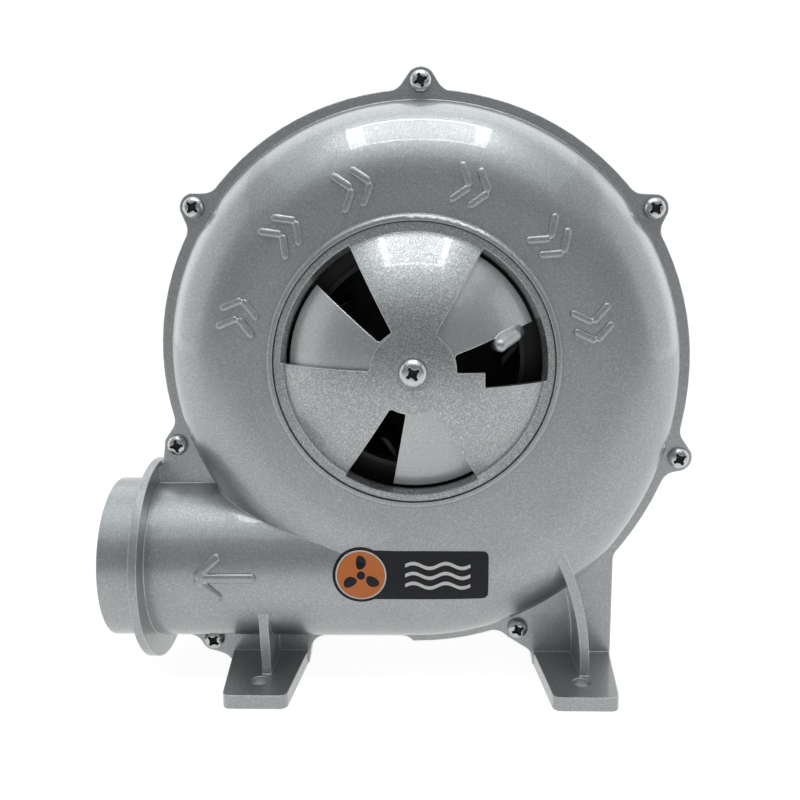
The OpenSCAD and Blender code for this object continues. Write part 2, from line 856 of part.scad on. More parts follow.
module stator_core() {
    color(dark_steel) fan_frame() at_depth(core_back) linear_extrude(core_l) difference() {
        circle(shell_in - 0.03);
        circle(stator_in);
        for (k = [0:slot_count - 1]) {
            rotate([0, 0, 360 / slot_count * k]) {
                translate([stator_in - 1, -0.9]) square([4, 1.8]);
                translate([stator_in + 6, 0]) circle(3.2);
                translate([stator_in + 6, -3.2]) square([3.4, 6.4]);
            }
        }
    }
}

// Winding heads at both ends of the core, lobed where the coils turn over
module stator_windings() {
    color(copper) fan_frame() for (side = [0, 1]) {
        at_depth(side == 0 ? core_front : core_back) mirror([0, 0, side]) difference() {
            rotate_extrude() hull() {
                translate([stator_in + 3, 0.05]) square([10, 1]);
                translate([stator_in + 5, 6]) circle(2.4, $fn = 32);
                translate([stator_in + 10, 5.6]) circle(2.4, $fn = 32);
            }
            for (k = [0:slot_count - 1]) {
                rotate([0, 0, 360 / slot_count * (k + 0.5)]) translate([stator_in + 16.4, 0, 1])
                    cylinder(r = 4, h = 12);
            }
        }
    }
}

// A fin stands everywhere but at the four screw ears and under the terminal box.
function near(a, b, span) = abs((a - b + 540) % 360 - 180) < span;
function has_fin(a) = !near(a, 90, 34) && len([for (b = screw_turns) if (near(a, b, 12)) b]) == 0;

module motor_shell() {
    color(aluminium_paint) fan_frame() difference() {
        union() {
            ring(shell_out, shell_in, shell_end, motor_f);
            for (k = [0:fin_count - 1]) {
                a = 360 / fin_count * (k + 0.5);
                if (has_fin(a)) {
                    rotate([0, 0, a]) translate([shell_in + 1, -0.8, shell_end + 2])
                        cube([shell_t + fin_h - 1, 1.6, shell_l - 4]);
                }
            }
            for (a = screw_turns) {
                rotate([0, 0, a]) {
                    shell_ear(motor_f - ear_t);
                    shell_ear(shell_end);
                }
            }
        }
        for (a = screw_turns) {
            rotate([0, 0, a]) translate([shell_pcd_r, 0, 0]) {
                at_depth(motor_f - ear_t - 1) cylinder(r = clear_r, h = ear_t + 2);
                at_depth(shell_end - 1) cylinder(r = thread_r, h = ear_t);
            }
        }
    }
}

module shell_ear(f) {
    translate([shell_pcd_r, 0, f]) cylinder(r = shell_ear_r, h = ear_t);
    translate([shell_in + 1, -shell_ear_r, f]) cube([shell_pcd_r - shell_in - 1, 2 * shell_ear_r, ear_t]);
}

module motor_screws() {
    color(zinc) fan_frame() for (a = screw_turns) {
        rotate([0, 0, a]) translate([shell_pcd_r, 0, motor_f - ear_t]) mirror([0, 0, 1])
            pan_screw(head_r, head_h, screw_r, ear_t + 4);
    }
}

// Cup shaped cover with vent slots and the seat of the rear bearing
module end_cover() {
    vent_l = shell_in - boss_r - 10;
    color(aluminium_paint) fan_frame() difference() {
        union() {
            difference() {
                rotate_extrude() {
                    translate([0, cover_back]) square([shell_out - 3, cover_l]);
                    translate([0, cover_back + 3]) square([shell_out, cover_l - 3]);
                    translate([shell_out - 3, cover_back + 3]) circle(3);
                }
                at_depth(cover_back + cover_skin) cylinder(r = shell_out - cover_skin - 0.4, h = cover_l);
            }
            at_depth(cover_back + 1) cylinder(r = boss_r, h = rear_bearing - cover_back - 1);
            ring(shell_in - 0.2, shell_in - 2.2, cover_back + 1, shell_end + 2);
            for (a = screw_turns) {
                rotate([0, 0, a]) shell_ear(shell_end - ear_t);
            }
        }
        at_depth(rear_bearing - bearing_w - spring_w) cylinder(r = bearing_r, h = 30);
        for (a = [0:30:330]) {
            rotate([0, 0, a]) translate([boss_r + 3, -1.5, cover_back - 1])
                cube([vent_l, 3, cover_skin + 2]);
        }
        for (a = screw_turns) {
            rotate([0, 0, a]) translate([shell_pcd_r, 0, shell_end - ear_t - 1])
                cylinder(r = clear_r, h = ear_t + 2);
        }
    }
}

module end_cover_screws() {
    color(zinc) fan_frame() for (a = screw_turns) {
        rotate([0, 0, a]) translate([shell_pcd_r, 0, shell_end - ear_t]) mirror([0, 0, 1])
            pan_screw(head_r, head_h, screw_r, 2 * ear_t - 1.5);
    }
}

module box_posts(r, from, to) {
    for (x = [-1, 1]) {
        translate([x * (box_w / 2 - 4.5), from, core_mid]) rotate([-90, 0, 0])
            cylinder(r = r, h = to - from);
    }
}

// Box on top of the motor, hollowed to the round of the shell
module terminal_box() {
    color(black_plastic) fan_frame() difference() {
        union() {
            difference() {
                translate([-box_w / 2, 30, box_back]) cube([box_w, box_top - 30, box_l]);
                translate([-box_w / 2 + box_t, box_floor, box_back + box_t])
                    cube([box_w - 2 * box_t, box_top, box_l - 2 * box_t]);
            }
            box_posts(3.4, box_floor - 1, box_top);
        }
        at_depth(box_back - 1) cylinder(r = shell_out + 0.05, h = box_l + 2);
        box_posts(1.5, box_floor + 4, box_top + 1);
        translate([0, gland_y, box_back - 1]) cylinder(r = gland_r, h = box_t + 2);
    }
}

module lid_plate(edge, h) {
    translate([-box_w / 2 - edge, box_top, box_back - edge]) cube([box_w + 2 * edge, h, box_l + 2 * edge]);
}

module terminal_box_lid() {
    color(black_plastic) fan_frame() difference() {
        union() {
            lid_plate(lid_edge, lid_t - 1);
            lid_plate(-lid_edge / 2, lid_t);
        }
        box_posts(1.7, box_top - 1, box_top + lid_t + 1);
    }
}

module terminal_box_screws() {
    color(zinc) fan_frame() for (x = [-1, 1]) {
        translate([x * (box_w / 2 - 4.5), box_top + lid_t, core_mid]) rotate([-90, 0, 0])
            pan_screw(2.8, 2, 1.45, 12);
    }
}

module capacitor() {
    color([0.15, 0.15, 0.17]) fan_frame()
        translate([-14, box_floor, core_mid - 7]) cube([28, 15, 15]);
}

// Cable inlet in the back of the box: nut inside, hexagon and domed clamp outside
module cable_gland() {
    color(black_plastic) fan_frame() translate([0, gland_y, box_back]) difference() {
        union() {
            at_depth(-gland_l + 6) cylinder(r = gland_r - 0.02, h = gland_l);
            at_depth(box_t) cylinder(r = gland_hex_r, h = 3, $fn = 6);
            at_depth(-4) cylinder(r = gland_hex_r, h = 4, $fn = 6);
            at_depth(-gland_l) rotate_extrude() {
                translate([0, 3]) square([7.4, gland_l - 7]);
                translate([4.4, 3]) circle(3);
                square([4.4, 4]);
            }
        }
        at_depth(-gland_l - 1) cylinder(r = 3.6, h = 2 * gland_l);
    }
}

front_housing();
rear_housing();
housing_screws();
intake_cap();
damper();
damper_screw();
damper_spring();
damper_washer();
damper_nut();
impeller_backplate();
impeller_blades();
impeller_shroud();
impeller_hub();
impeller_rivets();
impeller_washer();
impeller_nut();
motor_shaft();
shaft_spacer();
shaft_seal();
front_bearing_outer();
front_bearing_inner();
front_bearing_balls();
rear_bearing_outer();
rear_bearing_inner();
rear_bearing_balls();
bearing_spring();
rotor_core();
rotor_cage();
stator_core();
stator_windings();
motor_shell();
motor_screws();
end_cover();
end_cover_screws();
terminal_box();
terminal_box_lid();
terminal_box_screws();
capacitor();
cable_gland();
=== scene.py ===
import math

import bmesh
import bpy
import numpy as np
from mathutils import Matrix, Vector


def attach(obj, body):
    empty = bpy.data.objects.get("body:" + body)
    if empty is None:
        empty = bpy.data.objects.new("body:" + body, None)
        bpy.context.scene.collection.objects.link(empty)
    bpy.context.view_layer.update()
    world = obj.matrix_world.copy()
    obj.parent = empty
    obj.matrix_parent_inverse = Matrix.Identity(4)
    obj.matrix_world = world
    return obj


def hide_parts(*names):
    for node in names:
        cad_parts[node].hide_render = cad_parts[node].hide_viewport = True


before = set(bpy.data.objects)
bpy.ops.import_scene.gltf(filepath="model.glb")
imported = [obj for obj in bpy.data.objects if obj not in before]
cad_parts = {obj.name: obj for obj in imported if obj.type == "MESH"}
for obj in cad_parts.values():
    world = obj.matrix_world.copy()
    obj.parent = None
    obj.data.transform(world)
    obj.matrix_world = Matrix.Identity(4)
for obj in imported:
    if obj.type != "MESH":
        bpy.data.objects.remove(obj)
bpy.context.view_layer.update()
MM = 0.001
SHARP = math.radians(50)
WELD = 1e-7

# Sizes shared with the CAD part, in millimetres.
# Fan coordinates are X right, Y up and f towards the viewer, from the fan axis at the parting plane.
AXIS_X, AXIS_Z, SPLIT_Y = -1.2, 102.8, -15.95
BODY_R = 25.4
ARC_R = np.array([76.0, 80.6, 93.0, 79.11])
ARC_C = np.array([[0.0, 0.0], [1.288, -4.416], [-11.112, -4.416], [0.0, -12.75]])
ARC_FROM = (106.26, 0.0, -36.87, -90.0)
DUCT_Y = -66.46
LIP_T = 3.0
VALLEY_X, VALLEY_DROP, VALLEY_W = (-34.0, -20.0, -6.0, 1.0), (3.5, 1.2, 0.0, 0.0), 17.0
EARS = (
    (2.126, 81.179), (-67.152, 45.295), (72.1, 43.665), (82.551, -33.185),
    (-75.721, -28.764), (32.978, -90.117), (-66.8, -94.26),
)  # fmt: skip
EAR_SCREW = {"head": 3.35, "rise": 2.5, "shank": 1.97, "reach": 10.4, "seat": LIP_T, "cross": 1.0}
CAP_SCREW = {"head": 3.95, "rise": 2.65, "shank": 2.4, "reach": 12.0, "seat": 43.3, "cross": 0.82}


def place(points):
    """Fan coordinates in millimetres as points in metres in the row frame."""
    p = np.asarray(points, float)
    return np.stack([AXIS_X + p[..., 0], SPLIT_Y - p[..., 2], AXIS_Z + p[..., 1]], -1) * MM


def skin_height(x, y):
    """Height f of the casting's outer skin over its parting plane.

    Each arc k gives f = sqrt(B^2 - (rho - (R_k - B))^2) outside the flat, with rho the distance from
    its centre, and the duct gives f = sqrt(B^2 - (y - y_duct)^2) for x < 0. Between them lies a sloped
    valley floor, straight pieces in x over the 17 mm above the duct's axis. The highest one counts.
    """
    turn = np.degrees(np.arctan2(y, x))
    k = np.select([turn > start for start in ARC_FROM], [0, 1, 2, 3], 0)
    rho = np.hypot(x - ARC_C[k, 0], y - ARC_C[k, 1])
    out = np.clip(rho - (ARC_R[k] - BODY_R), 0, BODY_R)
    volute = np.sqrt(BODY_R**2 - out**2)
    duct = np.sqrt(np.clip(BODY_R**2 - (y - DUCT_Y) ** 2, 0, None))
    skin = np.where(x < 0, np.maximum(volute, duct), volute)
    valley = np.interp(x, VALLEY_X, BODY_R - np.array(VALLEY_DROP))
    inside = (x > VALLEY_X[0]) & (x < VALLEY_X[-1]) & (y > DUCT_Y) & (y < DUCT_Y + VALLEY_W)
    return np.where(inside, np.maximum(skin, valley), skin)


def skin_normal(x, y, step=0.2):
    """Unit normal (-df/dx, -df/dy, 1) of the skin, from central differences."""
    dx = (skin_height(x + step, y) - skin_height(x - step, y)) / (2 * step)
    dy = (skin_height(x, y + step) - skin_height(x, y - step)) / (2 * step)
    n = np.stack([-dx, -dy, np.ones_like(dx)], -1)
    return n / np.linalg.norm(n, axis=-1, keepdims=True)


def solid(top, low, wrap):
    """Closed solid between two grids of n by m points, whose rows run along +i and whose columns run
    counterclockwise from it. With wrap the columns close into rings, and a first row that is one point
    needs no inner wall. Returns points and quads."""
    n, m = top.shape[:2]
    index = np.arange(n * m).reshape(n, m)
    if wrap:
        index = np.concatenate([index, index[:, :1]], 1)
    a, b, c, d = index[:-1, :-1], index[1:, :-1], index[1:, 1:], index[:-1, 1:]
    base = n * m
    quads = [np.stack([a, b, c, d], -1), np.stack([d, c, b, a], -1) + base]
    rims = [index[-1]]
    if np.ptp(top[0], axis=0).max() > 0:
        rims.append(index[0, ::-1])
    if not wrap:
        rims += [index[::-1, -1], index[:, 0]]
    for rim in rims:
        quads.append(np.stack([rim[:-1], rim[:-1] + base, rim[1:] + base, rim[1:]], -1))
    verts = np.concatenate([top.reshape(-1, 3), low.reshape(-1, 3)])
    return verts, np.concatenate([q.reshape(-1, 4) for q in quads])


def joined(parts):
    """Points and quads of several solids as one pair of arrays."""
    counts = np.cumsum([0] + [len(v) for v, _ in parts[:-1]])
    return np.concatenate([v for v, _ in parts]), np.concatenate([q + k for (_, q), k in zip(parts, counts)])


def piece(name, shape, mats, second=None):
    """One object from points in fan coordinates and quads.

    Edges without length become one point, which closes the middle of each disc. Quads marked in
    second get the second material."""
    verts, quads = shape
    me = bpy.data.meshes.new(name)
    me.vertices.add(len(verts))
    me.vertices.foreach_set("co", place(verts).ravel())
    me.loops.add(quads.size)
    me.loops.foreach_set("vertex_index", quads.ravel().astype(np.int32))
    me.polygons.add(len(quads))
    me.polygons.foreach_set("loop_start", np.arange(0, quads.size, 4, dtype=np.int32))
    if second is not None:
        me.polygons.foreach_set("material_index", second.astype(np.int32))
    me.update(calc_edges=True)
    bm = bmesh.new()
    bm.from_mesh(me)
    bmesh.ops.dissolve_degenerate(bm, dist=WELD, edges=bm.edges)
    bm.to_mesh(me)
    bm.free()
    me.shade_smooth()
    me.set_sharp_from_angle(angle=SHARP)
    for mat in mats:
        me.materials.append(mat)
    ob = bpy.data.objects.new(name, me)
    bpy.context.scene.collection.objects.link(ob)
    return ob


def add(tree, kind, inputs=None, **settings):
    """One shader node. Each input is a plain value or another node's output socket."""
    node = tree.nodes.new(kind if kind.startswith("NodeGroup") else "ShaderNode" + kind)
    for key, value in settings.items():
        setattr(node, key, value)
    for key, value in (inputs or {}).items():
        if isinstance(value, bpy.types.NodeSocket):
            tree.links.new(value, node.inputs[key])
        else:
            node.inputs[key].default_value = value
    return node


def maths(tree, operation, *values):
    """Output of a math node."""
    return add(tree, "Math", dict(enumerate(values)), operation=operation).outputs[0]


def mixed(tree, factor, first, second, blend="MIX"):
    """Output of a colour mix node."""
    return add(tree, "Mix", {0: factor, 6: first, 7: second}, data_type="RGBA", blend_type=blend).outputs[2]


def spread(tree, value, low, high, to_low=0.0, to_high=1.0):
    """Output of a map range node."""
    ends = {"Value": value, "From Min": low, "From Max": high, "To Min": to_low, "To Max": to_high}
    return add(tree, "MapRange", ends).outputs["Result"]


def group(name, inputs, outputs):
    """Empty node group with named inputs and outputs, and its input and output nodes."""
    g = bpy.data.node_groups.new(name, "ShaderNodeTree")
    for label, kind, value in inputs:
        socket = g.interface.new_socket(name=label, in_out="INPUT", socket_type="NodeSocket" + kind)
        socket.default_value = value
    for label, kind in outputs:
        g.interface.new_socket(name=label, in_out="OUTPUT", socket_type="NodeSocket" + kind)
    return g, add(g, "NodeGroupInput").outputs, add(g, "NodeGroupOutput").inputs


def paint_group():
    """Speckled silver paint: flakes painted as bright cells, part real speckle and part painted glint,
    orange peel and painted highlights on the edges.
    """
    inputs = (
        ("Base", "Color", (0.37, 0.39, 0.39, 1)),
        ("Shade", "Color", (0.34, 0.36, 0.36, 1)),
        ("Edge highlight", "Color", (0.8, 0.8, 0.8, 1)),
        ("Flake scale", "Float", 3800.0),
        ("Flake strength", "Float", 0.17),
        ("Peel scale", "Float", 2200.0),
        ("Peel depth", "Float", 0.13),
        ("Roughness", "Float", 0.33),
    )
    outputs = (("Color", "Color"), ("Roughness", "Float"), ("Normal", "Vector"))
    g, given, out = group("SpeckledPaint", inputs, outputs)
    where = add(g, "TexCoord").outputs["Object"]
    flake = add(g, "TexVoronoi", {"Vector": where, "Scale": given["Flake scale"]})
    cell = add(g, "SeparateColor", {"Color": flake.outputs["Color"]}).outputs
    # Painted glint: bright flake cells added to the colour, part real speckle of the paint
    glint = maths(g, "MULTIPLY", maths(g, "POWER", cell[0], 3.0), given["Flake strength"])
    cloud = add(g, "TexNoise", {"Vector": where, "Scale": 45.0, "Detail": 4.0}).outputs["Fac"]
    body = mixed(g, spread(g, cloud, 0.35, 0.65), given["Shade"], given["Base"])
    body = mixed(g, 1.0, body, glint, "ADD")
    rounded = add(g, "Bevel", {"Radius": 0.0006}, samples=6).outputs[0]
    flat = add(g, "NewGeometry").outputs["Normal"]
    turn = add(g, "VectorMath", {0: rounded, 1: flat}, operation="DOT_PRODUCT").outputs["Value"]
    # Painted highlight: the colour turns light on edges, where the rounded normal leaves the flat one
    g.links.new(mixed(g, spread(g, turn, 0.985, 0.80), body, given["Edge highlight"]), out["Color"])
    peel = add(g, "TexNoise", {"Vector": where, "Scale": given["Peel scale"], "Detail": 2.0}).outputs["Fac"]
    relief = maths(g, "ADD", peel, maths(g, "MULTIPLY", cell[1], 0.35))
    ends = {"Strength": given["Peel depth"], "Distance": 0.0002, "Height": relief, "Normal": rounded}
    bump = add(g, "Bump", ends)
    g.links.new(bump.outputs["Normal"], out["Normal"])
    g.links.new(maths(g, "MULTIPLY_ADD", cell[2], 0.12, given["Roughness"]), out["Roughness"])
    return g


def inside_shade_group():
    """Mask that is 1 on the inside of the castings, which gets painted shade, from object coordinates.

    Inside the volute sqrt(max(rho - flat, 0)^2 + f^2) < skin, with rho the distance from the fan axis
    and f the height over the parting plane, and inside the duct sqrt((z - z_duct)^2 + f^2) < skin.
    """
    inputs = (("Flat radius", "Float", 0.0506), ("Skin radius", "Float", 0.0231))
    g, given, out = group("CastingInsideShade", inputs, (("Mask", "Float"),))
    axis = add(g, "SeparateXYZ", {0: add(g, "TexCoord").outputs["Object"]}).outputs
    x, f, z = (maths(g, "SUBTRACT", axis[i], v * MM) for i, v in enumerate((AXIS_X, SPLIT_Y, AXIS_Z)))

    def length(a, b):
        return maths(g, "SQRT", maths(g, "ADD", maths(g, "MULTIPLY", a, a), maths(g, "MULTIPLY", b, b)))

    out_by = maths(g, "MAXIMUM", maths(g, "SUBTRACT", length(x, z), given["Flat radius"]), 0.0)
    volute = maths(g, "LESS_THAN", length(out_by, f), given["Skin radius"])
    duct = maths(g, "LESS_THAN", length(maths(g, "SUBTRACT", z, DUCT_Y * MM), f), given["Skin radius"])
    duct = maths(g, "MULTIPLY", duct, maths(g, "LESS_THAN", x, 0.0))
    g.links.new(maths(g, "MAXIMUM", volute, duct), out["Mask"])
    return g


def shade_group():
    """Painted shade: darkens the colour in deep corners such as screw recesses, from how much of the
    surroundings a point sees.
    """
    inputs = (
        ("Color", "Color", (0.5, 0.5, 0.5, 1)),
        ("Reach", "Float", 0.0016),
        ("Dark", "Color", (0.01, 0.01, 0.01, 1)),
    )
    g, given, out = group("PaintedCornerShade", inputs, (("Color", "Color"),))
    seen = add(g, "AmbientOcclusion", {"Distance": given["Reach"]}, samples=8).outputs["AO"]
    g.links.new(mixed(g, spread(g, seen, 0.25, 0.75), given["Dark"], given["Color"]), out["Color"])
    return g


PAINT, INSIDE_SHADE, CORNER_SHADE = paint_group(), inside_shade_group(), shade_group()


def rgba(colour, gain=1.0):
    return (*(min(1.0, c * gain) for c in colour), 1)


def material(name):
    """New material, its node tree and its shader."""
    m = bpy.data.materials.new(name)
    m.use_nodes = True
    return m, m.node_tree, m.node_tree.nodes["Principled BSDF"]


def use(tree, shared, **values):
    """A shared group in a material. Underscores stand for spaces in the names of its inputs."""
    node = tree.nodes.new("ShaderNodeGroup")
    node.node_tree = shared
    for key, value in values.items():
        if isinstance(value, bpy.types.NodeSocket):
            tree.links.new(value, node.inputs[key.replace("_", " ")])
        else:
            node.inputs[key.replace("_", " ")].default_value = value
    return node.outputs


def paint(name, base, flake, strength, peel, depth, rough, hollow=False, metal=0.8, coat=0.9):
    """Speckled paint. With hollow, the inside of the casting gets painted shade, near black, and is dull."""
    m, t, shader = material(name)
    made = use(
        t, PAINT, Base=rgba(base), Shade=rgba(base, 0.935), Flake_scale=flake, Flake_strength=strength,
        Peel_scale=peel, Peel_depth=depth, Roughness=rough,
    )  # fmt: skip
    colour = made["Color"]
    t.links.new(made["Roughness"], shader.inputs["Roughness"])
    t.links.new(made["Normal"], shader.inputs["Normal"])
    shader.inputs["Metallic"].default_value = metal
    shader.inputs["Coat Weight"].default_value = coat
    shader.inputs["Coat Roughness"].default_value = 0.04
    if hollow:
        mask = use(t, INSIDE_SHADE)["Mask"]
        # Painted shade: the inside of the casting is near black
        colour = mixed(t, mask, colour, (0.022, 0.022, 0.023, 1))
        t.links.new(spread(t, mask, 0.0, 1.0, metal, 0.0), shader.inputs["Metallic"])
        t.links.new(spread(t, mask, 0.0, 1.0, coat, 0.0), shader.inputs["Coat Weight"])
    t.links.new(colour, shader.inputs["Base Color"])
    return m


def plain(
    name, colour, rough, metal=0.0, vary=0.1, scale=500.0, bump=0.0,
    coat=0.0, mottle=0.15, specular=0.5, deep=False,
):  # fmt: skip
    """Finely mottled colour and roughness with a small bump. With deep, its recesses get painted shade."""
    m, t, shader = material(name)
    where = add(t, "TexCoord").outputs["Object"]
    grain = add(t, "TexNoise", {"Vector": where, "Scale": scale, "Detail": 5.0}).outputs["Fac"]
    tone = mixed(t, grain, rgba(colour, 1 - mottle), rgba(colour, 1 + mottle))
    # Painted shade in the recesses
    if deep:
        tone = use(t, CORNER_SHADE, Color=tone)["Color"]
    t.links.new(tone, shader.inputs["Base Color"])
    sheen = spread(t, grain, 0.0, 1.0, max(0.03, rough - vary), min(1.0, rough + vary))
    t.links.new(sheen, shader.inputs["Roughness"])
    edge = add(t, "Bevel", {"Radius": 0.0003}, samples=4).outputs[0]
    relief = add(t, "Bump", {"Strength": bump, "Distance": 0.0002, "Height": grain, "Normal": edge})
    t.links.new(relief.outputs["Normal"], shader.inputs["Normal"])
    shader.inputs["Metallic"].default_value = metal
    shader.inputs["Coat Weight"].default_value = coat
    shader.inputs["Specular IOR Level"].default_value = specular
    return m


SILVER = (0.37, 0.39, 0.392)
CAST = paint("CastPaint", SILVER, 3800.0, 0.17, 2200.0, 0.13, 0.33, hollow=True)
SHELL = paint("MotorPaint", SILVER, 3800.0, 0.17, 2200.0, 0.13, 0.33)
CAP = paint("CapPaint", (0.325, 0.342, 0.342), 4200.0, 0.36, 2400.0, 0.22, 0.27)
SHUTTER = paint("ShutterPaint", (0.44, 0.46, 0.46), 3800.0, 0.14, 2200.0, 0.10, 0.31)
ZINC = plain("ZincSteel", (0.60, 0.61, 0.62), 0.22, 1.0, 0.08, 900.0, 0.06, deep=True)
# Painted shadow for the screw recesses
RECESS = plain("RecessShadow", (0.018, 0.018, 0.02), 0.5, 0.3, 0.1, 900.0, 0.1)
# Near black impeller sheet: painted shade for the dark inside of the casing
SHADE_SHEET = plain("SheetPaintedShade", (0.030, 0.030, 0.032), 0.42, 0.3, 0.1, 300.0, 0.05)
MACHINED = plain("MachinedSteel", (0.30, 0.30, 0.31), 0.28, 1.0, 0.1, 700.0, 0.05)
# Near black hub, rivets, washer and nut: painted shade for the dark inside of the casing
SHADE_HUB = plain("HubPaintedShade", (0.035, 0.035, 0.037), 0.40, 0.4, 0.1, 500.0, 0.05)
BEARING = plain("BearingSteel", (0.60, 0.60, 0.61), 0.12, 1.0, 0.04)
CORE = plain("CoreSteel", (0.12, 0.125, 0.14), 0.42, 0.9, 0.1, 600.0, 0.1)
ALU = plain("CastAluminium", (0.55, 0.55, 0.56), 0.4, 1.0, 0.1, 500.0, 0.2)
COPPER = plain("EnamelledCopper", (0.42, 0.16, 0.06), 0.3, 0.85, 0.1, 500.0, 0.1, coat=0.4)
BLACK = plain("BlackPlastic", (0.018, 0.018, 0.019), 0.5, 0.0, 0.08, 900.0, 0.15)
GREY = plain("GreyPlastic", (0.05, 0.052, 0.058), 0.3, 0.0, 0.05, 500.0, 0.05)
FELT = plain("Felt", (0.16, 0.14, 0.11), 0.95, 0.0, 0.04, 1500.0, 0.6)
INK = plain("LabelBlack", (0.010, 0.011, 0.015), 0.30, 0.0, 0.03, 300.0, specular=0.25)
ORANGE = plain("LabelOrange", (0.66, 0.19, 0.05), 0.35, 0.0, 0.03, 300.0, mottle=0.04, specular=0.3)
WHITE = plain("LabelWhite", (0.75, 0.75, 0.73), 0.4, 0.0, 0.03, 300.0, mottle=0.02, specular=0.3)

NODE_MATERIALS = {
    CAST: ["front_housing", "rear_housing"],
    SHELL: ["motor_shell", "end_cover"],
    CAP: ["intake_cap"],
    SHUTTER: ["damper"],
    ZINC: [
        "housing_screws", "damper_screw", "damper_washer", "damper_nut", "shaft_spacer",
        "motor_screws", "end_cover_screws", "terminal_box_screws",
    ],
    SHADE_SHEET: ["impeller_backplate", "impeller_blades", "impeller_shroud"],
    SHADE_HUB: ["impeller_hub", "impeller_rivets", "impeller_washer", "impeller_nut"],
    MACHINED: ["damper_spring", "motor_shaft", "bearing_spring"],
    FELT: ["shaft_seal"],
    BEARING: [
        "front_bearing_outer", "front_bearing_inner", "front_bearing_balls",
        "rear_bearing_outer", "rear_bearing_inner", "rear_bearing_balls",
    ],
    CORE: ["rotor_core", "stator_core"],
    ALU: ["rotor_cage"],
    COPPER: ["stator_windings"],
    BLACK: ["terminal_box", "terminal_box_lid", "cable_gland"],
    GREY: ["capacitor"],
}  # fmt: skip
for mat, names in NODE_MATERIALS.items():
    for name in names:
        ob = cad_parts[name]
        ob.data.materials.clear()
        ob.data.materials.append(mat)


def ridge(path, width, rise, sink=0.5):
    """Rounded bead along a path on the skin.

    The section across is a superellipse |u/w|^p + |v/h|^p = 1 with p = 2.6, where w and h shrink as
    sqrt(1 - t^2) over the last half width at either end.
    """
    path = np.asarray(path, float)
    s = np.concatenate([[0], np.cumsum(np.linalg.norm(np.diff(path, axis=0), axis=1))])
    w = width / 2
    cap = w * np.sin(np.linspace(0, math.pi / 2, 9))
    middle = np.linspace(w, s[-1] - w, max(4, int(2 * s[-1])))[1:-1]
    at = np.concatenate([w - cap[::-1], middle, s[-1] - w + cap])
    centre = np.stack([np.interp(at, s, path[:, i]) for i in (0, 1)], 1)
    along = np.gradient(centre, axis=0)
    along /= np.linalg.norm(along, axis=1, keepdims=True)
    left = np.stack([-along[:, 1], along[:, 0]], 1)
    shrink = np.sqrt(np.clip(1 - np.clip(1 - np.minimum(at, s[-1] - at) / w, 0, 1) ** 2, 0.0004, 1))
    angle = np.linspace(math.pi, 0, 15)
    across = np.sign(np.cos(angle)) * np.abs(np.cos(angle)) ** (2 / 2.6)
    lift = np.abs(np.sin(angle)) ** (2 / 2.6)
    xy = centre[:, None] + left[:, None] * (across * w * shrink[:, None])[..., None]
    foot = np.concatenate([xy, skin_height(xy[..., 0], xy[..., 1])[..., None]], -1)
    normal = skin_normal(xy[..., 0], xy[..., 1])
    top = foot + normal * (lift * rise * np.sqrt(shrink)[:, None])[..., None]
    return solid(top, foot - normal * sink, False)


def turned(points, degrees, centre):
    """Points turned about the origin and moved to a centre."""
    c, s = math.cos(math.radians(degrees)), math.sin(math.radians(degrees))
    return np.asarray(points, float) @ np.array([[c, s], [-s, c]]) + centre


def polar(radius, degrees):
    return np.array([radius * math.cos(math.radians(degrees)), radius * math.sin(math.radians(degrees))])


# Six raised double chevrons show the turning direction
MARK_R = 52.0
MARK_ANGLES = (164.4, 134.3, 108.3, 71.6, 41.8, 12.2)
MARK_W, MARK_H = 2.3, 0.9
ARM_UP, ARM_IN, CHEVRON_GAP = 5.6, 2.2, 2.7
marks = []
for angle in MARK_ANGLES:
    for shift in (-CHEVRON_GAP, CHEVRON_GAP):
        arm = np.array([[shift - ARM_IN, ARM_UP], [shift + ARM_IN, 0.0], [shift - ARM_IN, -ARM_UP]])
        arm = turned(arm, angle - 90, polar(MARK_R, angle))
        marks += [ridge(arm[:2], MARK_W, MARK_H), ridge(arm[1:], MARK_W, MARK_H)]
turn_marks = piece("turn_marks", joined(marks), [CAST])

# Raised arrow on the duct, pointing the way the air leaves
ARROW_Y = DUCT_Y + 1.5
ARROW_TAIL, ARROW_TIP, BARB_X, BARB_Y = -48.0, -66.5, -59.0, 7.0
ARROW_W, ARROW_H = 3.0, 1.0
flow_arrow = piece("flow_arrow", joined([
    ridge([(ARROW_TAIL, ARROW_Y), (ARROW_TIP + 0.5, ARROW_Y)], ARROW_W, ARROW_H),
    ridge([(ARROW_TIP, ARROW_Y), (BARB_X, ARROW_Y + BARB_Y)], ARROW_W, ARROW_H),
    ridge([(ARROW_TIP, ARROW_Y), (BARB_X, ARROW_Y - BARB_Y)], ARROW_W, ARROW_H),
]), [CAST])  # fmt: skip
for ob in (turn_marks, flow_arrow):
    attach(ob, "housing")


HEAD_RINGS, HEAD_SIDES = 50, 128


